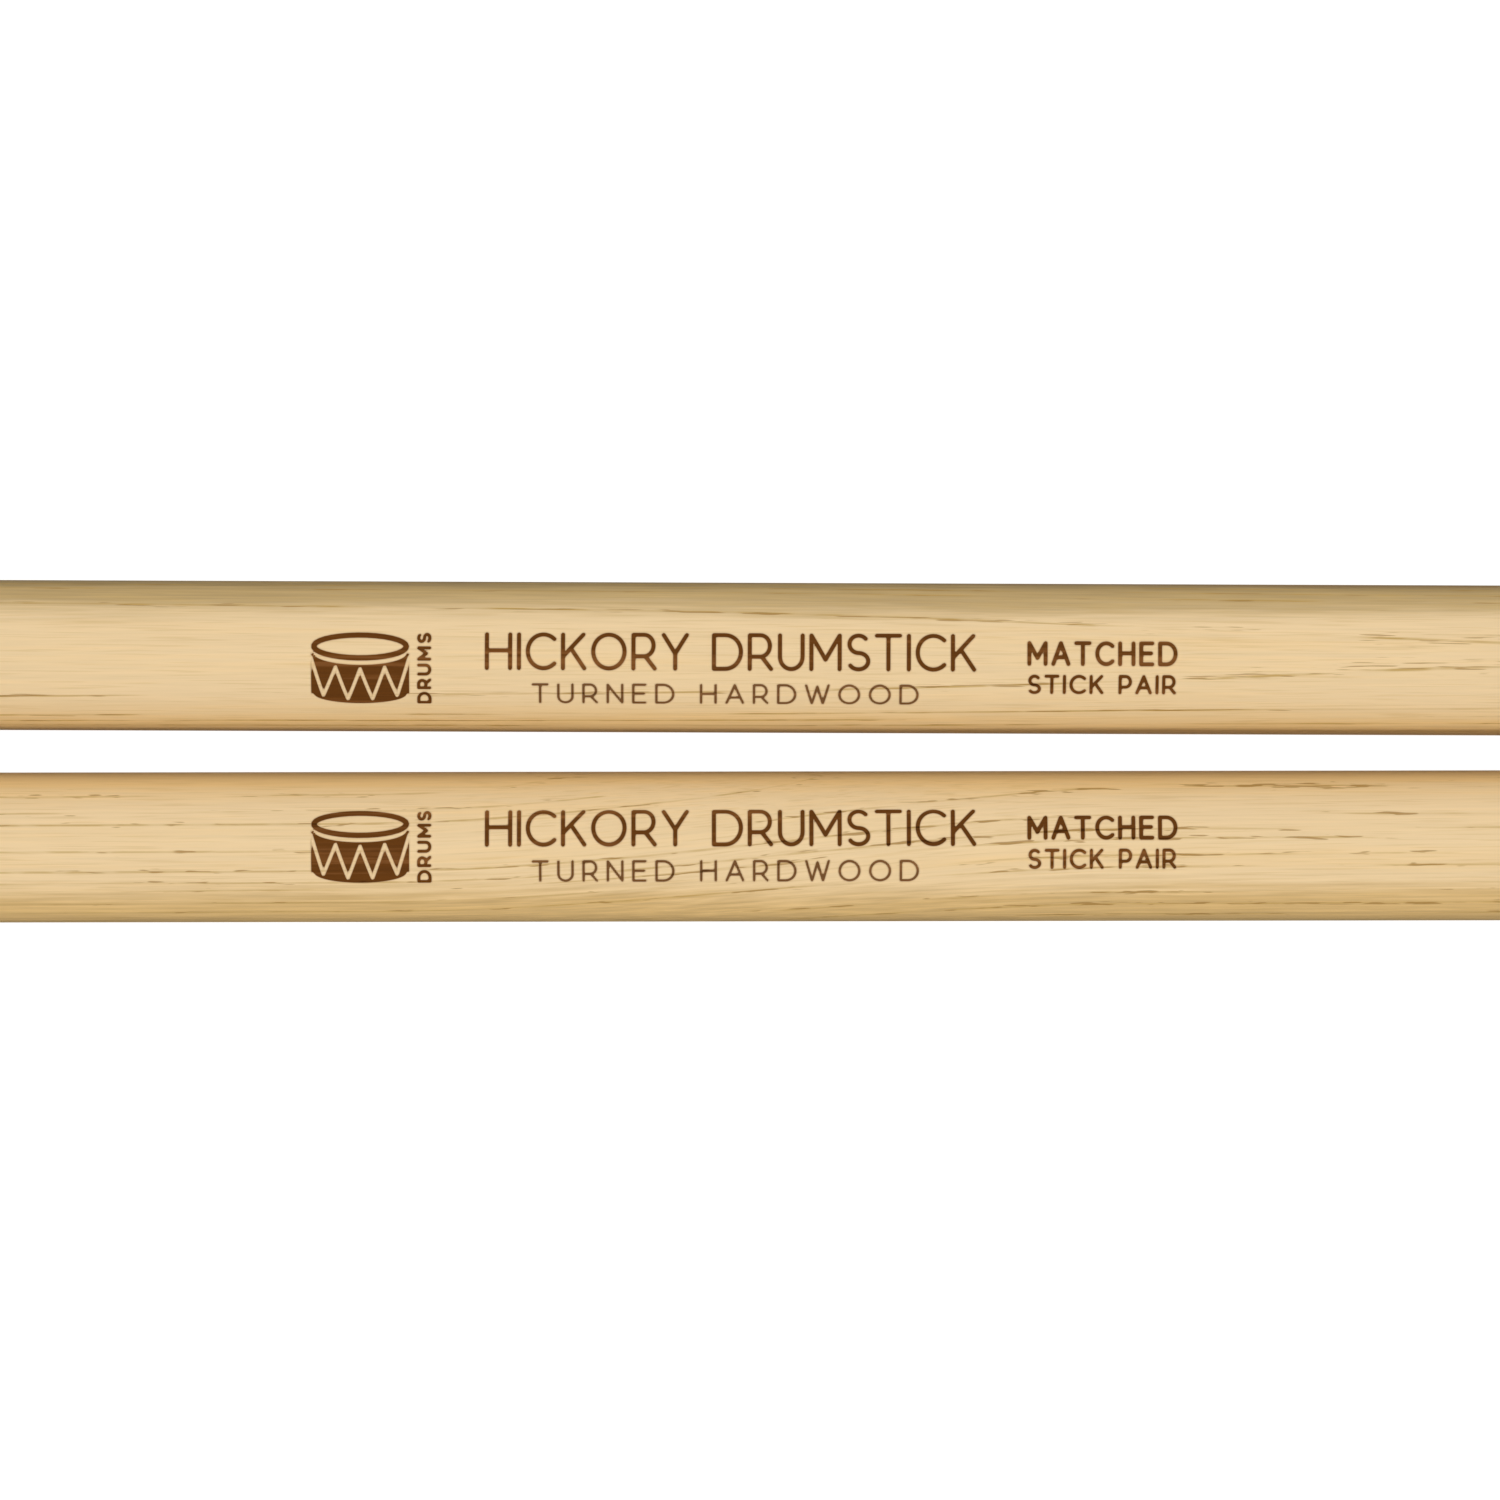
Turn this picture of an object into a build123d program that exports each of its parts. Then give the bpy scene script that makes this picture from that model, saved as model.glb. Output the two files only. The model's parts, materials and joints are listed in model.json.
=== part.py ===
"""A pair of long, thin drumsticks, each turned from one piece of hickory, lying side by side.

Row frame, in millimetres: +X runs along the sticks towards their tips, +Y is the left hand's side,
+Z is up. The origin is on the surface they lie on, at the middle of the floor that the pair covers.
"""

from build123d import *
from math import atan2, degrees, radians, sin, tan
import os

# One stick, from the butt to the tip
stick_length = 419.0  # 16.5 inches
shaft_diameter = 13.7  # 0.540 inches
butt_rounding = 5.5  # radius that takes the edge off the butt and leaves a small flat end
taper_length = 98.0  # from the corner of the shoulder to the neck
shoulder_rounding = 900.0  # radius that softens the corner of the shoulder
neck_diameter = 5.8  # the thinnest place, just behind the tip
neck_rounding = 3.0  # hollow radius between the taper and the back of the tip

# The acorn tip
tip_length = 13.5  # from the neck to the nose
tip_diameter = 9.2
tip_back_slope = 38.0  # degrees that the back of the tip rises from the neck
crest_rounding = 3.6  # radius between the back and the widest place
crest_flat = 0.4  # straight stretch at the widest place
nose_radius = 2.4

# How the two sticks lie
gap = 3.28  # between the shafts, halfway along the sticks
left_turn = -0.21  # degrees about +Z: the tips lie a little closer together than the butts
right_turn = 0.085

shaft_radius = shaft_diameter / 2
neck_radius = neck_diameter / 2
tip_radius = tip_diameter / 2
neck_x = stick_length - tip_length
shoulder_x = neck_x - taper_length
taper_slope = degrees(atan2(shaft_radius - neck_radius, taper_length))

# The grip is the straight shaft, from the butt's rounding to where the shoulder begins
grip_start = butt_rounding
grip_end = shoulder_x - shoulder_rounding * tan(radians(taper_slope / 2))


def rounding(radius, turn, room):
    """A corner's radius, cut down where its arc would need more than the room beside the corner."""
    return min(radius, room / tan(radians(turn / 2)))


def nose_outline(widest):
    """The long belly of the acorn and its round nose: two arcs that share a tangent."""
    run = stick_length - nose_radius - widest.X
    belly_radius = (run**2 + tip_radius**2 - nose_radius**2) / (2 * (tip_radius - nose_radius))
    belly_turn = degrees(atan2(run, belly_radius - tip_radius))
    belly = JernArc(widest, (1, 0), belly_radius, -belly_turn)
    return belly, JernArc(belly @ 1, belly % 1, nose_radius, belly_turn - 90)


def stick():
    """One stick along +X from the origin: half its length section, spun once round the axis."""
    rise = tip_radius - neck_radius
    crest_x = neck_x + rise / tan(radians(tip_back_slope))
    back_room = 0.49 * rise / sin(radians(tip_back_slope))  # nearly half the back, for each end of it
    neck_corner = rounding(neck_rounding, tip_back_slope + taper_slope, back_room)
    crest_corner = rounding(crest_rounding, tip_back_slope, back_room)
    widest = Vector(crest_x + crest_corner * tan(radians(tip_back_slope / 2)) + crest_flat, tip_radius)
    with BuildPart() as turned:
        with BuildSketch():
            with BuildLine():
                FilletPolyline(
                    (0, 0),
                    (0, shaft_radius),
                    (shoulder_x, shaft_radius),
                    (neck_x, neck_radius),
                    (crest_x, tip_radius),
                    widest,
                    radius=[butt_rounding, shoulder_rounding, neck_corner, crest_corner],
                )
                belly, nose = nose_outline(widest)
                Line(nose @ 1, (0, 0))
            make_face()
        revolve(axis=Axis.X)
    return turned.part


def lying(side, turn):
    """Where a stick lies before the pair is centred; side is 1 for the left one, -1 for the right."""
    across = side * (shaft_radius + gap / 2)
    return Pos(0, across, shaft_radius) * Rot(0, 0, turn) * Pos(-stick_length / 2, 0, 0)


places = {"left_stick": lying(1, left_turn), "right_stick": lying(-1, right_turn)}
turned_stick = stick()

# The origin goes to the middle of the box round the pair
pair_box = Compound([place * turned_stick for place in places.values()]).bounding_box()
centring = Pos(-pair_box.center().X, -pair_box.center().Y, 0)

os.makedirs("parts", exist_ok=True)
for name, place in places.items():
    placed = centring * place
    export_step(placed * turned_stick, f"parts/{name}.step")
    grip_middle = placed * Pos((grip_start + grip_end) / 2, 0, 0)
    print(name, "grip's middle", grip_middle.position, "length", round(grip_end - grip_start, 3))
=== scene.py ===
# %% [markdown]
# # A pair of hickory drumsticks
#
# A wood-tipped drumstick is one piece of hickory, turned on a lathe: a straight grip, a shoulder, a long
# slender taper, a narrow neck and an acorn tip. It is sanded, given a thin satin lacquer, and a laser burns
# a marking into the grip. Two sticks make a pair.
#
# This script loads the CAD model as a fixed frame and builds the looks round it. Each stick becomes one
# fine surface of revolution, its marking is a distance field stored on the same surface, and its wood is a
# solid pattern of growth rings and pores that the surface cuts through, as a lathe tool does.

# %% Load the fixed frame
import json
import bpy
import numpy as np
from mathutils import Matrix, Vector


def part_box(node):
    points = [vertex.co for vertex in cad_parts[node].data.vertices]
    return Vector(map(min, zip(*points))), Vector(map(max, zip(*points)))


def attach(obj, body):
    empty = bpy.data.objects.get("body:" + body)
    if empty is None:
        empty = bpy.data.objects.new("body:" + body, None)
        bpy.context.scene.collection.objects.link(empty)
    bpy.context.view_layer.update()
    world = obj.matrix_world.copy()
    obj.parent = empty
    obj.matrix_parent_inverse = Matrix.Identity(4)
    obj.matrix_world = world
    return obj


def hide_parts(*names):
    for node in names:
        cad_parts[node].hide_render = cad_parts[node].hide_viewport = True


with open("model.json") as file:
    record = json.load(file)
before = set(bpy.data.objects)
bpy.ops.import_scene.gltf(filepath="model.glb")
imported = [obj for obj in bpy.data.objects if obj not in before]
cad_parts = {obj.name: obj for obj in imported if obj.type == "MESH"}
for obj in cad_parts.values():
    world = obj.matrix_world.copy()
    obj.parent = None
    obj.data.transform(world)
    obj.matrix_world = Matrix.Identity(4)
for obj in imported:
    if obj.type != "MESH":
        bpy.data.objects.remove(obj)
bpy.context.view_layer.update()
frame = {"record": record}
mounts = {mount["name"]: mount for mount in frame["record"]["mounts"]}

# %% [markdown]
# ## Where each stick lies
#
# The CAD model gives every stick a grip mount: a round shaft with a middle, an axis and a radius. The axis
# points at the butt. From those and the node's box comes a small frame of three directions: along the
# stick to its tip, across it to the left, and up. All lengths of a stick are written in millimetres from
# its butt, as a turner's drawing has them, and turned into metres in one place.

# %% The two sticks' axes
MM = 0.001


class Axis:
    """A stick's centre line: its butt, three unit directions, its length and its grip's radius."""

    def __init__(self, stick):
        grip = mounts[stick + "_grip"]
        low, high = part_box(stick + "_stick")
        middle = np.array(grip["pos_m"])
        self.along = -np.array(grip["axis"])
        self.across = np.array([-self.along[1], self.along[0], 0.0])
        self.up = np.array([0.0, 0.0, 1.0])
        self.butt = middle + self.along * (low.x - middle[0]) / self.along[0]
        self.length = (high.x - low.x) / self.along[0] / MM
        self.radius = grip["dims"]["r_mm"]

    def place(self, along, across, up):
        """Millimetres from the butt, in the stick's three directions, as points in metres."""
        along, across, up = np.broadcast_arrays(along, across, up)
        steps = along[..., None] * self.along + across[..., None] * self.across + up[..., None] * self.up
        return self.butt + steps * MM


axes = {side: Axis(side) for side in ("left", "right")}
for side, axis in axes.items():
    print(side, "stick:", round(axis.length, 2), "mm long, shaft radius", axis.radius, "mm")

# %% [markdown]
# ## The outline that the lathe follows
#
# Half of the stick's length section is straight runs with a tangent arc at each corner, then the long belly
# of the acorn and its round nose. It could be drawn as a curve and spun with a Screw modifier. Working it
# out as rows of numbers keeps every arc exact and leaves full control over where the rows are close.

# %% The turner's sizes, in millimetres
BUTT_ROUNDING = 5.5
TAPER_LENGTH = 98.0
SHOULDER_ROUNDING = 900.0
NECK_RADIUS = 2.9
NECK_ROUNDING = 3.0
TIP_LENGTH = 13.5
TIP_RADIUS = 4.6
TIP_BACK_SLOPE = np.radians(38.0)
CREST_ROUNDING = 3.6
CREST_FLAT = 0.4
NOSE_RADIUS = 2.4
ARC_STEP = np.radians(2.5)  # between two rows on an arc


def arc(centre, radius, start, end):
    """Points on a circle: centre + radius * (sin a, cos a), with the angle a from straight outwards."""
    steps = max(6, int(np.ceil(abs(end - start) / ARC_STEP)))
    angle = np.linspace(start, end, steps + 1)
    return np.array(centre) + radius * np.stack([np.sin(angle), np.cos(angle)], 1)


def rounded(corners, radii):
    """Straight runs with tangent arcs. An arc of radius r at a corner that turns by t touches both runs
    r * tan(t / 2) from the corner, and its centre is r off the run, on the side of the turn."""
    corners = np.array(corners, float)
    runs = np.diff(corners, axis=0)
    slopes = np.arctan2(runs[:, 1], runs[:, 0])
    pieces = [corners[:1]]
    for corner, before, after, radius in zip(corners[1:-1], slopes, slopes[1:], radii):
        turn = after - before
        touch = corner - radius * np.tan(abs(turn) / 2) * np.array([np.cos(before), np.sin(before)])
        side = np.sign(turn)
        centre = touch + radius * side * np.array([-np.sin(before), np.cos(before)])
        pieces.append(arc(centre, -side * radius, -before, -after))
    return np.concatenate(pieces + [corners[-1:]])


def stick_outline(length, shaft_radius):
    """Rows of (distance from the butt, radius), from the butt's flat end to the nose."""
    neck = length - TIP_LENGTH
    crest = neck + (TIP_RADIUS - NECK_RADIUS) / np.tan(TIP_BACK_SLOPE)
    widest = crest + CREST_ROUNDING * np.tan(TIP_BACK_SLOPE / 2) + CREST_FLAT
    runs = rounded(
        [(0, 0), (0, shaft_radius), (neck - TAPER_LENGTH, shaft_radius), (neck, NECK_RADIUS),
         (crest, TIP_RADIUS), (widest, TIP_RADIUS)],
        [BUTT_ROUNDING, SHOULDER_ROUNDING, NECK_ROUNDING, CREST_ROUNDING],
    )
    # The belly's arc starts level at the widest place and ends where it shares a tangent with the nose
    run = length - NOSE_RADIUS - widest
    belly = (run**2 + TIP_RADIUS**2 - NOSE_RADIUS**2) / (2 * (TIP_RADIUS - NOSE_RADIUS))
    turn = np.arctan2(run, belly - TIP_RADIUS)
    belly_rows = arc((widest, TIP_RADIUS - belly), belly, 0, turn)
    nose_rows = arc((length - NOSE_RADIUS, 0), NOSE_RADIUS, turn, np.pi / 2)
    return np.concatenate([runs, belly_rows[1:], nose_rows[1:]])


outline = stick_outline(axes["left"].length, axes["left"].radius)
print("outline", len(outline), "rows, thickest", outline[:, 1].max(), "nose at", outline[-1].round(3))

# %% [markdown]
# ## Rows and columns
#
# The surface is a grid: rows along the outline and columns round the axis. The marking has to be sharp, so
# rows and columns are close where it is burnt and wide elsewhere. Making the whole grid that fine would
# take 800,000 faces a stick for nothing.

# %% The grid of one stick
MARK_MIDDLE = 160.0  # from the butt, in millimetres
MARK_LENGTH = 80.2
MARK_HEIGHT = 7.5  # round the shaft
FINE = 0.15  # between rows and columns in the marking
ROW_GAP = 2.5
PLAIN_COLUMNS = 60
MARK_HALF = MARK_HEIGHT / 2 / axes["left"].radius + 1e-9  # the angle from its middle to its long sides


def grid_rows(outline):
    """The outline with extra rows on its straight runs, as (length along the skin, x, radius)."""
    skin = np.concatenate([[0], np.cumsum(np.hypot(*np.diff(outline, axis=0).T))])
    start = np.interp(MARK_MIDDLE - MARK_LENGTH / 2, outline[:, 0], skin)
    fine = start + np.arange(0, MARK_LENGTH + FINE, FINE)
    wide = np.arange(ROW_GAP, skin[-1], ROW_GAP)
    wide = wide[(wide < fine[0] - ROW_GAP / 2) | (wide > fine[-1] + ROW_GAP / 2)]
    wide = wide[np.abs(wide[:, None] - skin).min(1) > ROW_GAP / 4]
    rows = np.sort(np.concatenate([skin, fine, wide]))
    return np.stack([rows, np.interp(rows, skin, outline[:, 0]), np.interp(rows, skin, outline[:, 1])], 1)


def grid_columns():
    """Angles round the shaft, from the underside over the marking, at 0, to the underside again."""
    fine = np.linspace(-MARK_HALF, MARK_HALF, int(MARK_HEIGHT / FINE) + 1)
    plain = np.linspace(-np.pi, -MARK_HALF, PLAIN_COLUMNS // 2, endpoint=False)
    return np.concatenate([plain, fine, -plain[:0:-1]])


rows = grid_rows(outline)
columns = grid_columns()
print(len(rows), "rows by", len(columns), "columns")

# %% [markdown]
# ## The marking's letters
#
# The marking is plain words and a small drum, burnt by a laser, and the strokes of each line of words have
# one width. So a letter is a skeleton of lines and bows, and everything within half that width is dark.
# That is a distance field: each grid point stores how far it is from the edge of the burn, less than zero
# inside, and the material draws the edge between the points. It stays sharp on a grid only two or three
# times as fine as the strokes, the wood's grain runs on through the letters, and no thin film has to be
# laid over the wood.

# %% Letter skeletons, on a cap height of 1
BOW_STEP = 12  # degrees between two points of a bow


def bow(x, y, across, up, start, end):
    """Part of an ellipse about (x, y), from one angle to another, in degrees, as a chain of points."""
    angle = np.radians(np.linspace(start, end, 2 + int(abs(end - start) / BOW_STEP)))
    return np.stack([x + across * np.cos(angle), y + up * np.sin(angle)], 1)


def line(*points):
    return np.array(points, float)


LETTERS = {
    "A": (0.84, [line((0, 0), (0.42, 1), (0.84, 0)), line((0.14, 0.32), (0.70, 0.32))]),
    "C": (0.84, [bow(0.5, 0.5, 0.5, 0.5, 46, 314)]),
    "D": (0.86, [line((0.36, 0), (0, 0), (0, 1), (0.36, 1)), bow(0.36, 0.5, 0.5, 0.5, 90, -90)]),
    "E": (0.62, [line((0.62, 0), (0, 0), (0, 1), (0.62, 1)), line((0, 0.52), (0.55, 0.52))]),
    "H": (0.74, [line((0, 0), (0, 1)), line((0.74, 0), (0.74, 1)), line((0, 0.52), (0.74, 0.52))]),
    "I": (0.0, [line((0, 0), (0, 1))]),
    "K": (0.68, [line((0, 0), (0, 1)), line((0.65, 1), (0, 0.34)), line((0.25, 0.59), (0.68, 0))]),
    "M": (0.90, [line((0, 0), (0, 1), (0.45, 0.28), (0.90, 1), (0.90, 0))]),
    "N": (0.74, [line((0, 0), (0, 1), (0.74, 0), (0.74, 1))]),
    "O": (1.0, [bow(0.5, 0.5, 0.5, 0.5, 0, 360)]),
    "P": (0.64, [line((0, 0), (0, 1), (0.34, 1)), bow(0.34, 0.68, 0.3, 0.32, 90, -90),
                 line((0.34, 0.36), (0, 0.36))]),
    "R": (0.68, [line((0, 0), (0, 1), (0.34, 1)), bow(0.34, 0.68, 0.3, 0.32, 90, -90),
                 line((0.34, 0.36), (0, 0.36)), line((0.38, 0.36), (0.68, 0))]),
    "S": (0.62, [bow(0.32, 0.74, 0.29, 0.26, 38, 270), bow(0.32, 0.24, 0.31, 0.24, 90, -148)]),
    "T": (0.74, [line((0, 1), (0.74, 1)), line((0.37, 1), (0.37, 0))]),
    "U": (0.72, [line((0, 1), (0, 0.36)), bow(0.36, 0.36, 0.36, 0.36, 180, 360),
                 line((0.72, 0.36), (0.72, 1))]),
    "W": (1.14, [line((0, 1), (0.29, 0), (0.57, 0.94), (0.85, 0), (1.14, 1))]),
    "Y": (0.74, [line((0, 1), (0.37, 0.44), (0.74, 1)), line((0.37, 0.44), (0.37, 0))]),
}
WORD_SPACE = 0.30
print(len(LETTERS), "letters")

# %% Distance fields


def distance_to(points, chains):
    """How far each point is from the nearest chain. On a piece from a to b the nearest place is
    a + t * (b - a), where t is the point's share of the way along it, kept between 0 and 1."""
    starts = np.concatenate([chain[:-1] for chain in chains])
    steps = np.concatenate([np.diff(chain, axis=0) for chain in chains])
    offsets = points[:, None, :] - starts
    share = (offsets * steps).sum(2) / np.maximum((steps**2).sum(1), 1e-12)
    away = offsets - np.clip(share, 0, 1)[..., None] * steps
    return np.sqrt((away**2).sum(2).min(1))


def set_words(words, left, right, low, high, stroke, gap):
    """A line of capitals that fills a box: the skeletons stop half a stroke inside it, the letters stand a
    gap apart, and all are stretched by one amount to fill what is left of its length."""
    cap = high - low - stroke
    widths = [LETTERS[letter][0] if letter != " " else WORD_SPACE for letter in words]
    stretch = (right - left - stroke - (gap + stroke) * (len(words) - 1)) / sum(widths)
    chains, x = [], left + stroke / 2
    for letter, width in zip(words, widths):
        for chain in LETTERS.get(letter, (0, []))[1]:
            chains.append(np.array([x, low + stroke / 2]) + chain * [stretch, cap])
        x += width * stretch + gap + stroke
    return chains


# %% [markdown]
# The emblem is a drum seen a little from above: a ring for the head, a dark shell under it, and the cord
# that zigzags between the hoops left as bare wood. Intersecting two fields takes the larger distance,
# joining takes the smaller, and cutting one out takes the larger of the first and minus the second.

# %% The drum
DRUM_HALF_WIDTH = 4.2
DRUM_HEAD = 2.13  # height of the head's middle above the emblem's
DRUM_FOOT = -2.32
DRUM_SAG = 1.05  # half the height of the ellipse that the head is seen as
HOOP = 0.26  # half the width of the head's ring
HOOP_TO_SHELL = 0.62
CORD = 0.15  # half its width
CORD_BELOW_HEAD = 1.0
CORD_ABOVE_FOOT = 0.45
CORD_POINTS = 9


def drum_gap(points):
    """Distance outside the burnt drum, less than zero inside, about its own middle."""
    x, y = points.T
    side = DRUM_HALF_WIDTH + HOOP

    def sag(x):
        """How far the near side of a hoop hangs below its middle: half an ellipse."""
        return DRUM_SAG * np.sqrt(np.clip(1 - (x / DRUM_HALF_WIDTH) ** 2, 0, 1))

    head = distance_to(points, [bow(0, DRUM_HEAD, DRUM_HALF_WIDTH, DRUM_SAG, 0, 360)]) - HOOP
    above = y + sag(x) - (DRUM_HEAD - HOOP_TO_SHELL)
    below = (DRUM_FOOT - sag(x)) - y
    shell = np.maximum(np.maximum(above, below), np.abs(x) - side)
    turns = np.linspace(-side, side, CORD_POINTS)
    heights = np.where(np.arange(CORD_POINTS) % 2, DRUM_FOOT + CORD_ABOVE_FOOT, DRUM_HEAD - CORD_BELOW_HEAD)
    cord = distance_to(points, [np.stack([turns, heights - sag(turns)], 1)])
    return np.minimum(head, np.maximum(shell, CORD - cord))


# %% [markdown]
# ## Laying out the marking
#
# Every item has a box in millimetres, from the marking's middle: left, right, low and high. The small
# upright word is set level and then turned a quarter. Each grid point takes the least distance to any item.

# %% The layout
FAR = 1.0  # distances past this are all the same to the material
EMBLEM_MIDDLE = (-34.9, -0.04)
EMBLEM_HALF = (4.6, 3.7)
LEVEL_WORDS = (
    # words, left, right, low, high, stroke, gap
    ("HICKORY DRUMSTICK", -23.6, 21.0, -0.04, 3.46, 0.40, 0.40),
    ("TURNED HARDWOOD", -19.36, 15.8, -3.35, -1.24, 0.255, 0.74),
    ("MATCHED", 25.6, 39.25, 0.52, 2.82, 0.39, 0.31),
    ("STICK PAIR", 25.65, 39.15, -2.16, -0.25, 0.32, 0.28),
)
THIN_LINE = 1  # the one burnt more lightly
THIN_BURN = 0.92
UPRIGHT_WORD = ("DRUMS", -3.42, 3.38, 28.42, 29.75, 0.31, 0.24)


def within(points, left, right, low, high):
    """Which points lie in a box or at most FAR outside it."""
    x, y = points.T
    return (x > left - FAR) & (x < right + FAR) & (y > low - FAR) & (y < high + FAR)


def burn_gap(points):
    """Distance of each point of the unrolled shaft from the edge of the burn, in millimetres."""
    gap = np.full(len(points), FAR)

    def burn(inside, found):
        gap[inside] = np.minimum(gap[inside], found)

    (x, y), (half_width, half_height) = EMBLEM_MIDDLE, EMBLEM_HALF
    near = within(points, x - half_width, x + half_width, y - half_height, y + half_height)
    burn(near, drum_gap(points[near] - EMBLEM_MIDDLE))
    for line_points, lines in ((points, LEVEL_WORDS), (points[:, ::-1] * [1, -1], [UPRIGHT_WORD])):
        for words, left, right, low, high, stroke, letter_gap in lines:
            near = within(line_points, left, right, low, high)
            chains = set_words(words, left, right, low, high, stroke, letter_gap)
            burn(near, distance_to(line_points[near], chains) - stroke / 2)
    return gap


def burn_strength(points):
    """How much of the wood's own colour each point of a burn hides."""
    _, left, right, _, high, _, _ = LEVEL_WORDS[THIN_LINE]
    x, y = points.T
    return np.where((x > left - FAR) & (x < right + FAR) & (y < high + FAR / 2), THIN_BURN, 1.0)


# %% [markdown]
# ## The skin of a stick
#
# A surface of revolution in two parameters: the row gives the distance from the butt and the radius r, and
# the column gives the angle a from the top. The point is r sin(a) across and r cos(a) up. Both ends
# close in one point with a fan of triangles. The map unrolls the skin into three lengthwise ribbons and
# gives the marking a ribbon of its own at a larger scale, so that a baked picture keeps the letters sharp.

# %% A closed grid as a mesh


def revolved(name, points, ends=(None, None)):
    """A grid of points, rows by columns, closed round its columns, as a smooth mesh. Each face goes (row,
    column), (next row, column), (next row, next column), (row, next column), and a given end point closes
    that end with a fan of triangles."""
    count, around = points.shape[:2]
    index = np.arange(count * around).reshape(count, around)
    after = np.roll(index, -1, axis=1)
    quads = np.stack([index[:-1], index[1:], after[1:], after[:-1]], 2).reshape(-1, 4)
    vertices, faces = [points.reshape(-1, 3)], quads.tolist()
    for end, first, second in ((ends[0], index[0], after[0]), (ends[1], after[-1], index[-1])):
        if end is not None:
            pole = np.full(around, count * around + len(vertices) - 1)
            faces += np.stack([pole, first, second], 1).tolist()
            vertices.append(np.asarray(end).reshape(1, 3))
    mesh = bpy.data.meshes.new(name)
    mesh.from_pydata(np.concatenate(vertices), [], faces)
    mesh.polygons.foreach_set("use_smooth", np.ones(len(faces), bool))
    mesh.update()
    piece = bpy.data.objects.new(name, mesh)
    bpy.context.scene.collection.objects.link(piece)
    return piece


# %% The unrolled skin
RIBBONS = 3
RIBBON_STEP = 0.30  # up the square picture, from one ribbon's foot to the next
RIBBON_HEIGHT = 0.285
MARK_RIBBON = 0.905  # the foot of the marking's own ribbon
MARK_RIBBON_HEIGHT = 0.085
MAP_EDGE = 0.008  # left free along the picture's edges


def skin_map(rows, columns):
    """The place on the square picture of every corner of every face, in the order that revolved() makes
    them. u runs along a ribbon of the skin, from its first row, and v across it, from the underside."""
    skin, along = rows[:, 0], rows[:, 1] - MARK_MIDDLE
    share = np.append(columns + np.pi, 2 * np.pi) / (2 * np.pi)
    first = np.searchsorted(skin, skin[-1] * np.arange(RIBBONS + 1) / RIBBONS)
    longest = np.diff(skin[first]).max()

    def on_ribbons(row, column, face_row):
        ribbon = np.searchsorted(first[1:-1], face_row, side="right")
        u = (skin[row] - skin[first[ribbon]]) / longest
        return np.stack([u, ribbon * RIBBON_STEP + MAP_EDGE + share[column] * RIBBON_HEIGHT], -1)

    def on_marking(row, column):
        u = along[row] / MARK_LENGTH + 0.5
        v = (share[column] - 0.5) * np.pi / MARK_HALF + 0.5
        return np.stack([u, MARK_RIBBON + v * MARK_RIBBON_HEIGHT], -1)

    face_row, face_column = np.meshgrid(np.arange(1, len(rows) - 2), np.arange(len(columns)), indexing="ij")
    row = face_row[..., None] + [0, 1, 1, 0]
    column = face_column[..., None] + [0, 0, 1, 1]
    turn = np.append(columns, np.pi)[column]
    marked = ((np.abs(along[row]) <= MARK_LENGTH / 2) & (np.abs(turn) <= MARK_HALF)).all(2)
    plain = on_ribbons(row, column, face_row[..., None])
    places = [np.where(marked[..., None, None], on_marking(row, column), plain).reshape(-1, 2)]
    fan = np.arange(len(columns))
    for pole, edge, steps in ((0, 1, (0, 1)), (len(rows) - 1, len(rows) - 2, (1, 0))):
        corners = [(pole, fan), (edge, fan + steps[0]), (edge, fan + steps[1])]
        spots = [on_ribbons(np.full(len(fan), row), column, min(pole, edge)) for row, column in corners]
        places.append(np.stack(spots, 1).reshape(-1, 2))
    places = np.concatenate(places)
    places[:, 0] = MAP_EDGE + places[:, 0] * (1 - 2 * MAP_EDGE)
    return places


# %% One stick's skin, with its marking
MARK_TURNS = {"left": np.radians(-10.4), "right": np.radians(0.7)}  # each stick lies rolled a little


def stick_skin(side):
    """A stick as one closed piece, with the map of its skin and the field of its marking."""
    axis = axes[side]
    along, radius = rows[:, 1:2], rows[:, 2:3]
    angle = columns + MARK_TURNS[side]
    grid = axis.place(along, radius * np.sin(angle), radius * np.cos(angle))
    piece = revolved(side + "_stick_wood", grid[1:-1], (grid[0, 0], grid[-1, 0]))
    mesh = piece.data
    uv = mesh.uv_layers.new(name="OFBake")
    uv.uv.foreach_set("vector", skin_map(rows, columns).astype(np.float32).ravel())
    unrolled = np.stack(np.broadcast_arrays(along - MARK_MIDDLE, axis.radius * columns), 2)
    unrolled = unrolled[1:-1].reshape(-1, 2)
    marked = (np.abs(unrolled) <= [MARK_LENGTH / 2, MARK_HEIGHT / 2 + 1e-9]).all(1)
    for field, made_by, elsewhere in (("burn_gap", burn_gap, FAR), ("burn_strength", burn_strength, 1.0)):
        values = np.full(len(mesh.vertices), elsewhere, np.float32)
        values[np.flatnonzero(marked)] = made_by(unrolled[marked])
        mesh.attributes.new(field, "FLOAT", "POINT").data.foreach_set("value", values)
    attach(piece, side + "_stick")
    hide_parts(side + "_stick")
    print(piece.name, len(mesh.polygons), "faces,", int(marked.sum()), "points in the marking's patch")
    return piece


sticks = {side: stick_skin(side) for side in axes}

# %% [markdown]
# ## Writing a material as sums
#
# Blender's materials are trees of nodes. A wood pattern is mostly arithmetic, so a wire of the tree is
# wrapped in a small class whose operators add the Math node that does the sum. Then a formula in the code
# is the formula in the material. Colours go through Mix nodes, because a Math node would turn them grey.

# %% A wire that can be added, multiplied and compared


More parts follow.
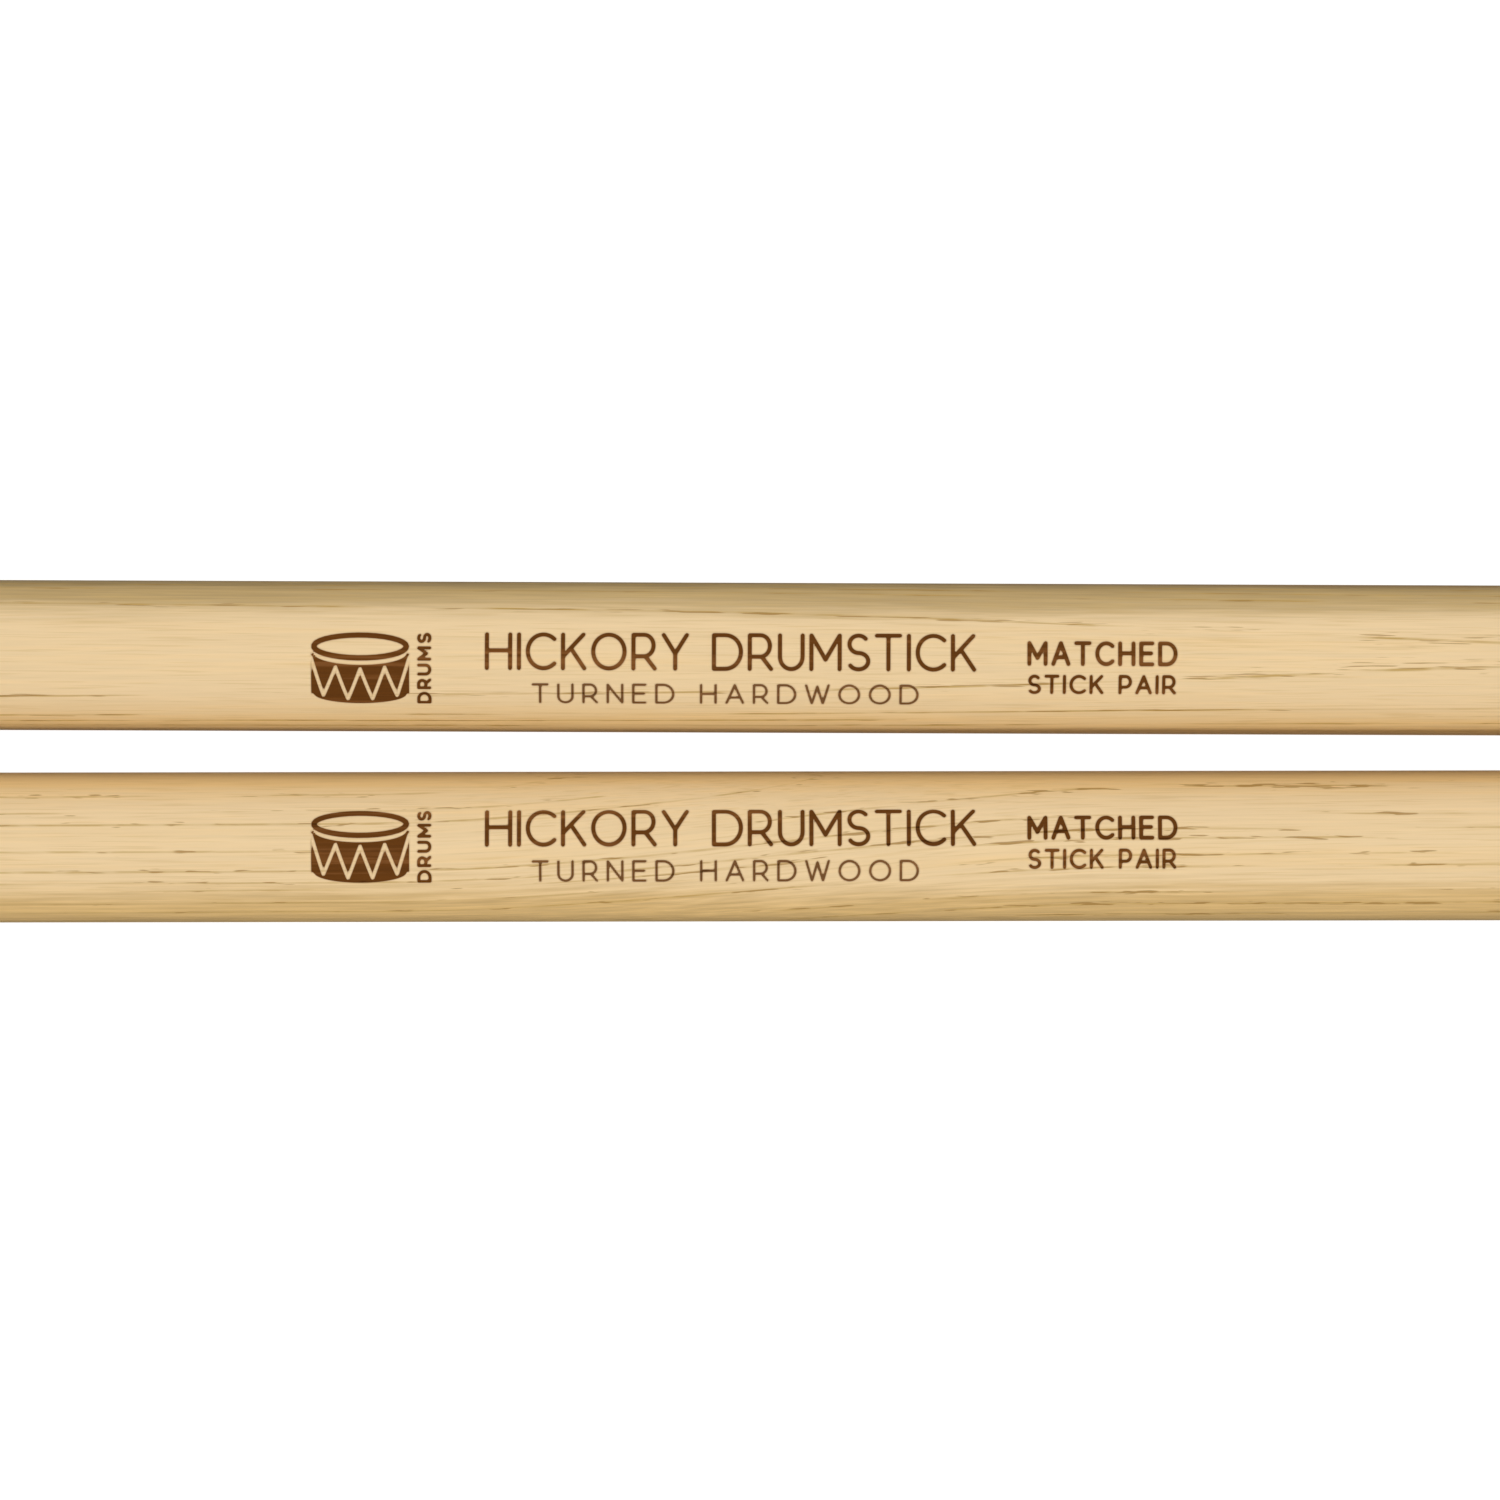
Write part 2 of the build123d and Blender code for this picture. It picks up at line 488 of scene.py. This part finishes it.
class Wire:
    """An output of a node. Arithmetic on it adds Math nodes to the same tree."""

    def __init__(self, tree, socket):
        self.tree, self.socket = tree, socket

    def node(self, kind, settings=None, sockets=None, out=0):
        """Adds a node of a kind, makes its settings first and then fills its sockets, and returns one of
        its outputs as a wire."""
        made = self.tree.nodes.new(kind)
        for name, value in (settings or {}).items():
            setattr(made, name, value)
        for name, value in (sockets or {}).items():
            if isinstance(value, Wire):
                self.tree.links.new(value.socket, made.inputs[name])
            else:
                made.inputs[name].default_value = value
        return Wire(self.tree, made.outputs[out])

    def math(self, operation, *others, clamp=False):
        terms = dict(enumerate((self,) + others))
        return self.node("ShaderNodeMath", {"operation": operation, "use_clamp": clamp}, terms)

    def __add__(self, other):
        return self.math("ADD", other)

    def __mul__(self, other):
        return self.math("MULTIPLY", other)

    def __sub__(self, other):
        return self.math("SUBTRACT", other)

    def __rsub__(self, other):
        return (self * -1.0) + other

    def __truediv__(self, other):
        return self.math("DIVIDE", other)

    __radd__ = __add__

    def ramp(self, low, high, start=0.0, end=1.0):
        """A soft step: start at low, end at high. low may be the larger of the two."""
        sockets = {0: self, 1: low, 2: high, 3: start, 4: end}
        return self.node("ShaderNodeMapRange", {"interpolation_type": "SMOOTHSTEP"}, sockets)

    def noise(self, detail):
        """Smooth noise about 0, mostly between -0.5 and 0.5, at this place."""
        sockets = {"Vector": self, "Scale": 1.0, "Detail": detail}
        return self.node("ShaderNodeTexNoise", {}, sockets, "Fac") - 0.5

    def parts(self):
        split = self.node("ShaderNodeSeparateXYZ", {}, {0: self})
        return tuple(Wire(self.tree, output) for output in split.socket.node.outputs)

    def mixed(self, other, share):
        """This colour, with a share of another."""
        sockets = {0: share, 6: self, 7: other}
        return self.node("ShaderNodeMix", {"data_type": "RGBA"}, sockets, 2)

    def shaded(self, amount):
        """This colour times a number."""
        return self.node("ShaderNodeVectorMath", {"operation": "SCALE"}, {0: self, "Scale": amount})


def place(x, y, z):
    """Three wires or numbers as one place."""
    wire = next(value for value in (x, y, z) if isinstance(value, Wire))
    return wire.node("ShaderNodeCombineXYZ", {}, {0: x, 1: y, 2: z})


# %% [markdown]
# ## Hickory
#
# Hickory is pale, with a ring of open pores at the start of each year's growth. Seen along the stick, the
# pores are fine dark flecks strung out on thin olive lines, and the lines bend where the lathe cuts a ring
# at a slant. So the pattern is solid, not painted on the skin: each point of the block has a depth, its
# distance along the rings' normal less how far the rings rise along the stick, and a ring is one depth.
# The surface then shows long lines, closing arches or slanting flecks by itself, and the butt shows end
# grain. A wood texture node would be quicker, but its rings are evenly spaced and can't be told apart.

# %% How each blank was sawn, in millimetres from the middle of the marking
BLANKS = {
    "left": {
        "lean": 5.0,  # degrees, from straight up to the rings' normal
        "climb": 0.0064,  # of the rings, along the stick
        "swell": 0.45,  # a step in their rise
        "swell_run": (-5.0, 60.0),
        "rings": (8.6, 7.8, 5.8, 4.0, 3.2, 2.3, 0.9, -0.5, -2.0, -3.4, -4.9, -6.3, -7.9, -9.3),
        "line": 0.85,  # how dark a ring line is
        "flecks": (0.29, 0.26),  # how many flecks it has, at the left and at the right of the marking
        "fleck_size": (4.0, 0.16),  # length and width
        "spread": 0.30,  # how far from the ring they lie
        # The band is partly darker, streakier wood and partly painted shade: from full to darkest it only
        # darkens the wood towards the outer outline.
        "band": (2.6, 5.8, 6.9),  # across the stick: where a darker band starts, is full and is darkest
        "band_colour": (0.44, 0.30, 0.115, 1.0),
        # Painted shade: a thin brown stripe about the height of the axis darkens the outline seen from above.
        # These are the depths where it starts, is full, and ends.
        "rim_shade_depths": (1.9, 0.9, 0.0, -0.8),  # depths where a streak of it starts, is full, and ends
        "seed": 3.0,
    },
    "right": {
        "lean": 74.0,
        "climb": 0.004,
        "swell": 4.4,
        "swell_run": (-34.0, 36.0),
        "rings": (7.5, 6.2, 5.0, 4.05, 1.75, -0.1, -1.25, -2.0, -3.4, -4.5, -7.0, -8.3, -9.6),
        "line": 0.65,
        "flecks": (0.212, 0.312),
        "fleck_size": (2.5, 0.25),
        "spread": 0.45,
        "band": (-2.2, -5.8, -7.2),
        "band_colour": (0.60, 0.385, 0.135, 1.0),
        "rim_shade_depths": None,
        "seed": 11.0,
    },
}
CREAM = (0.755, 0.553, 0.300, 1.0)
GOLD = (0.765, 0.525, 0.238, 1.0)
# This honey is painted shade: it is mixed in below the axis, where the light falls off towards the outline.
PAINTED_SHADE_HONEY = (0.60, 0.395, 0.155, 1.0)
OLIVE = (0.45, 0.272, 0.052, 1.0)
FLECK = (0.32, 0.168, 0.024, 1.0)
# Painted shade: a brown stripe along the left stick's outline on the shaft, darkening its edge.
RIM_SHADE_BROWN = (0.27, 0.15, 0.05, 1.0)
RIM_SHADE_SHARE = 0.62
RIM_SHADE_RUN = (-105.0, -70.0, 72.0, 115.0)  # along the stick: where the streak starts, is full, and ends
FAINT = 0.20  # how dark the threads between the rings are
BURNT = (0.112, 0.036, 0.004, 1.0)
RUSSET = (0.225, 0.085, 0.022, 1.0)
SCORCHED = (0.38, 0.18, 0.06, 1.0)

# %% The rings of a block
WANDERS = ((110.0, 6.0, 0.5), (40.0, 3.0, 0.10))  # of the rings: how long, how wide and how high


def block_place(tree, side):
    """Millimetres from the middle of the marking: along the stick, across it and up, as three wires."""
    axis = axes[side]
    start = Wire(tree, tree.nodes.new("ShaderNodeTexCoord").outputs["Object"])
    sockets = {
        "Vector": start,
        "Location": tuple(axis.place(MARK_MIDDLE, 0.0, 0.0)),
        "Rotation": (0.0, 0.0, float(np.arctan2(axis.along[1], axis.along[0]))),
        "Scale": (MM, MM, MM),
    }
    return start.node("ShaderNodeMapping", {"vector_type": "TEXTURE"}, sockets).parts()


def growth(blank, x, y, z):
    """Four results: the depth; the distance to the nearest ring; how squarely the skin cuts the rings, the
    sine of the angle between normals; and the place less the rings' rise, so that the rings are flat."""
    sine, cosine = float(np.sin(np.radians(blank["lean"]))), float(np.cos(np.radians(blank["lean"])))
    rise = x * blank["climb"] + x.ramp(*blank["swell_run"], 0.0, blank["swell"])
    for length, width, height in WANDERS:
        rise = rise + place(x / length + blank["seed"], y / width, z / width).noise(1.0) * height
    depth = y * sine + z * cosine - rise
    nearest = (depth - blank["rings"][0]).math("ABSOLUTE")
    for ring in blank["rings"][1:]:
        nearest = nearest.math("MINIMUM", (depth - ring).math("ABSOLUTE"))
    square = (y * cosine - z * sine).math("ABSOLUTE") / (y * y + z * z + 0.01).math("SQRT")
    return depth, nearest, square, place(x, y - rise * sine, z - rise * cosine).parts()


# %% The fine grain, its threads as (length, width) in millimetres
RUNS = (22.0, 1.0)  # where a ring line shows and where it fades
BEADS = (3.5, 0.5)  # pores strung along it
FAINT_THREADS = (7.0, 0.17)
BROAD_STREAKS = (70.0, 2.4)
LONG_STREAKS = (30.0, 0.45)
SHORT_STREAKS = (5.0, 0.35)
FIBRES = (9.0, 0.25)
LINE_EDGE = (0.16, 0.02)  # distance from a ring where its line starts and is full
SLANT_EDGE = (0.04, 0.22)  # how squarely the skin cuts a ring where its line starts and is full
LEAST_SLANT = 0.15
FLECK_RUN = (-25.0, 30.0)  # along the stick, from the first number of flecks to the second
FLECK_LEVEL = 0.30
FLECK_EDGE = 0.09


def fine_grain(blank, nearest, square, flat_place):
    """Shares of ring line and dark fleck, from 0 to 1, and three noises about 0, from broad to fine. All
    are threads along the flattened rings, made by squeezing a noise across the stick. Faint threads of
    the same olive lie everywhere."""
    x, y, z = flat_place

    def threads(length, width, detail=1.0):
        return place(x / length + blank["seed"], y / width, z / width).noise(detail)

    runs = threads(*RUNS).ramp(-0.10, 0.04)
    beads = threads(*BEADS).ramp(-0.12, 0.08)
    on_skin = nearest / square.math("MAXIMUM", LEAST_SLANT)
    line = on_skin.ramp(*LINE_EDGE) * square.ramp(*SLANT_EDGE) * runs
    line = line * (0.4 + beads * 0.6) * blank["line"]
    faint = threads(*FAINT_THREADS).ramp(0.02, 0.22)
    reach = nearest.ramp(blank["spread"], 0.0) * (0.2 + runs * 0.8) * x.ramp(*FLECK_RUN, *blank["flecks"])
    fleck = (threads(*blank["fleck_size"]) + reach - FLECK_LEVEL).ramp(0.0, FLECK_EDGE)
    broad = threads(*BROAD_STREAKS, 3.0)
    streaks = threads(*LONG_STREAKS, 3.0) + threads(*SHORT_STREAKS, 3.0) * 0.5
    return line + faint * FAINT, fleck, broad, streaks, threads(*FIBRES, 3.0)


# %% The colour of the wood
# Painted shade: gold and honey mixed in by height warm and darken the wood down the flanks, towards the
# outline.
GOLD_PAINTED_SHADE_HEIGHT = (5.4, 2.8)  # above the axis, where the gold starts and is full
PAINTED_SHADE_HEIGHT = (3.6, 1.2)
BAND_SHARE = 0.9
# Painted shade: how dark the band makes the wood at the outer outline.
BAND_PAINTED_SHADE = 0.65  # at the band's darkest
FLECK_SHARE = 0.75


def wood_colour(blank, depth, x, y, z, grain):
    """Cream, with gold in its broad streaks. Painted shade: gold and honey down the flanks. A band along one
    side, partly darker, streakier wood and partly painted shade towards the outline. Olive ring lines with
    dark flecks on them, and over all a thin brown stripe of painted shade along the outline."""
    line, fleck, broad, streaks, fibres = grain
    cream = line.node("ShaderNodeRGB")
    cream.socket.default_value = CREAM
    start, full, painted_shade_full = blank["band"]
    # The gold in the broad streaks is the wood's own. The gold and honey by height are painted shade down the
    # flanks.
    gold = (broad * 2.0 + streaks * 0.8 + z.ramp(*GOLD_PAINTED_SHADE_HEIGHT)).math("MAXIMUM", 0.0, clamp=True)
    band = (y + broad * 3.5 + streaks * 2.5).ramp(start, full)
    wood = cream.mixed(GOLD, gold).mixed(PAINTED_SHADE_HONEY, z.ramp(*PAINTED_SHADE_HEIGHT))
    wood = wood.mixed(blank["band_colour"], band * BAND_SHARE)
    grainy = (fibres * 0.15 + streaks * 0.11) * (1.0 + band * 2.5)
    # Painted shade: past the band's full place the wood darkens towards the outer outline.
    wood = wood.shaded(y.ramp(full, painted_shade_full, 1.0, BAND_PAINTED_SHADE) + grainy)
    wood = wood.mixed(OLIVE, line).mixed(FLECK, fleck * FLECK_SHARE)
    if not blank["rim_shade_depths"]:
        return wood
    # Painted shade: the stripe lies about the height of the axis, which is the outline seen from above.
    uneven = depth + streaks
    top, full_top, full_foot, foot = blank["rim_shade_depths"]
    left, full_left, full_right, right = RIM_SHADE_RUN
    rim_shade = uneven.ramp(top, full_top) * uneven.ramp(foot, full_foot)
    rim_shade = rim_shade * x.ramp(left, full_left) * x.ramp(right, full_right)
    return wood.mixed(RIM_SHADE_BROWN, rim_shade * (1.0 + fibres) * RIM_SHADE_SHARE)


# %% The burn
BURN_EDGE = (0.025, -0.045)  # distance outside the edge where it starts and is full
SCORCH_EDGE = (0.14, -0.02)
SCORCH_SHARE = 0.40
RUSSET_SHARE = 0.7


def burn(wood, gap, strength, grain):
    """The colour with the marking burnt into it, and the share of the surface that is burnt. The edge is
    scorched, and the burn is lighter and redder in the harder streaks."""
    line, fleck, broad, streaks, fibres = grain
    burnt = gap.ramp(*BURN_EDGE) * strength
    brown = line.node("ShaderNodeRGB")
    brown.socket.default_value = BURNT
    brown = brown.mixed(RUSSET, (broad + streaks * 0.6).ramp(0.0, 0.2) * RUSSET_SHARE)
    brown = brown.shaded(1.0 + fibres * 0.5 - fleck * 0.4 - line * 0.3)
    return wood.mixed(SCORCHED, gap.ramp(*SCORCH_EDGE) * SCORCH_SHARE).mixed(brown, burnt), burnt


# %% The wood of one stick
LACQUER = 0.9  # coat weight
LACQUER_ROUGHNESS = 0.38
WOOD_ROUGHNESS = 0.55
WOOD_SPECULAR = 0.08
BUMP = 0.03 * MM
BUMP_STRENGTH = 0.20


def hickory(side):
    """Satin lacquer over solid wood. The laser burns through the lacquer, so the coat stops at the marking,
    and the pores, the ring lines and the burn lie a little below the skin."""
    material = bpy.data.materials.new(side + "_hickory")
    material.use_nodes = True
    tree, blank = material.node_tree, BLANKS[side]
    x, y, z = block_place(tree, side)
    depth, *rings = growth(blank, x, y, z)
    grain = fine_grain(blank, *rings)
    line, fleck, _, _, fibres = grain
    gap = x.node("ShaderNodeAttribute", {"attribute_name": "burn_gap"}, {}, "Fac")
    strength = x.node("ShaderNodeAttribute", {"attribute_name": "burn_strength"}, {}, "Fac")
    colour, burnt = burn(wood_colour(blank, depth, x, y, z, grain), gap, strength, grain)
    height = fibres * 0.25 - fleck - line * 0.3 - burnt * 0.6
    bump = height.node("ShaderNodeBump", {}, {"Height": height, "Strength": BUMP_STRENGTH, "Distance": BUMP})
    shader = tree.nodes["Principled BSDF"]
    shader.inputs["Specular IOR Level"].default_value = WOOD_SPECULAR
    shader.inputs["Coat Roughness"].default_value = LACQUER_ROUGHNESS
    varying = {
        "Base Color": colour,
        "Roughness": WOOD_ROUGHNESS + fleck * 0.2 + burnt * 0.25 + fibres * 0.1,
        "Coat Weight": (1.0 - burnt) * LACQUER,
        "Normal": bump,
    }
    for name, wire in varying.items():
        tree.links.new(wire.socket, shader.inputs[name])
    print(material.name, len(tree.nodes), "nodes")
    return material


for side, piece in sticks.items():
    piece.data.materials.append(hickory(side))

# %% [markdown]
# ## The table and the light
#
# The sticks lie on a light table: a pale sheet that glows, under three long soft lamps, one overhead and
# one tilted to each side. They light the upper half evenly. The glow lights the flanks from below but is kept
# out of the lacquer's reflection, so the lacquer mirrors the dim room at a slant and thins the light at the
# sticks' outlines. A bright surround would mirror there instead and wash the outlines out.

# %% The table
TABLE_FLAT = 8.0  # past the farthest camera, so that the rim never stands in front of the sticks
TABLE_RIM = 5.0  # radius of the rim's curve
TABLE_RINGS = (0.05, 0.3, 1.2, 4.0)  # of points on the level part
TABLE_COLUMNS = 96
RIM_TURN = 85  # degrees
RIM_RINGS = 18
TABLE_DROP = 0.0001
TABLE_GLOW = 0.96
TABLE_GREY = 0.15


def table_sheet():
    """A wide dish: level to TABLE_FLAT metres out, then most of a quarter circle up."""
    rim = np.radians(np.linspace(0, RIM_TURN, RIM_RINGS))
    radius = np.concatenate([TABLE_RINGS, TABLE_FLAT + TABLE_RIM * np.sin(rim)])[:, None]
    height = np.concatenate([np.zeros(len(TABLE_RINGS)), TABLE_RIM * (1 - np.cos(rim))])[:, None] - TABLE_DROP
    angle = np.linspace(0, 2 * np.pi, TABLE_COLUMNS, endpoint=False)
    points = np.broadcast_arrays(radius * np.cos(angle), radius * np.sin(angle), height)
    return revolved("light_table", np.stack(points, 2), ((0, 0, -TABLE_DROP), None))


table = table_sheet()
glow = bpy.data.materials.new("light_table")
glow.use_nodes = True
sheet_shader = glow.node_tree.nodes["Principled BSDF"]
sheet_shader.inputs["Base Color"].default_value = (TABLE_GREY, TABLE_GREY, TABLE_GREY, 1.0)
sheet_shader.inputs["Specular IOR Level"].default_value = 0.0
sheet_shader.inputs["Roughness"].default_value = 1.0
sheet_shader.inputs["Emission Color"].default_value = (1.0, 1.0, 1.0, 1.0)
sheet_shader.inputs["Emission Strength"].default_value = TABLE_GLOW
table.data.materials.append(glow)
table.visible_glossy = False
table.visible_shadow = False
print("light table", len(table.data.polygons), "faces")

# %% The lamps and the dim room
LAMP_DISTANCE = 0.62
LAMP_SIZE = (1.4, 0.45)
LAMPS = (("top_lamp", 0.0, 2.85), ("left_lamp", 50.0, 2.56), ("right_lamp", -50.0, 2.56))  # tilt, watts
ROOM_GREY = 0.06

for name, tilt, power in LAMPS:
    lamp = bpy.data.lights.new(name, "AREA")
    lamp.shape = "RECTANGLE"
    lamp.size, lamp.size_y = LAMP_SIZE
    lamp.energy = power
    holder = bpy.data.objects.new(name, lamp)
    tilt = float(np.radians(tilt))
    holder.location = (0.0, LAMP_DISTANCE * float(np.sin(tilt)), LAMP_DISTANCE * float(np.cos(tilt)))
    holder.rotation_euler = (-tilt, 0.0, 0.0)
    holder.visible_camera = False
    bpy.context.scene.collection.objects.link(holder)
room = bpy.data.worlds.new("room")
room.use_nodes = True
room.node_tree.nodes["Background"].inputs["Color"].default_value = (ROOM_GREY, ROOM_GREY, ROOM_GREY, 1.0)
bpy.context.scene.world = room
bpy.context.scene.view_settings.view_transform = "Standard"
print(len(LAMPS), "lamps")

# %% [markdown]
# ## The camera
#
# It looks straight down at the marking from far enough for a long lens to flatten the view.

# %% The camera
LENS = 250.0
SENSOR = 36.0
VIEW_WIDTH = 137.0 * MM  # of the sticks, at the height of their axes
VIEW_MIDDLE = (MARK_MIDDLE + 0.46, 0.19)  # along, and left of the line halfway between the sticks
camera = bpy.data.objects.new("camera", bpy.data.cameras.new("camera"))
bpy.context.scene.collection.objects.link(camera)
camera.data.lens = LENS
camera.data.sensor_width = SENSOR
camera.data.clip_start = 0.01
middle = sum(axis.place(VIEW_MIDDLE[0], 0.0, 0.0) for axis in axes.values()) / len(axes)
camera.location = middle + np.array([0.0, VIEW_MIDDLE[1] * MM, VIEW_WIDTH * LENS / SENSOR])
bpy.context.scene.camera = camera
print("camera at", [round(value, 4) for value in camera.location])

# %% Bring the scene up to date
bpy.context.view_layer.update()
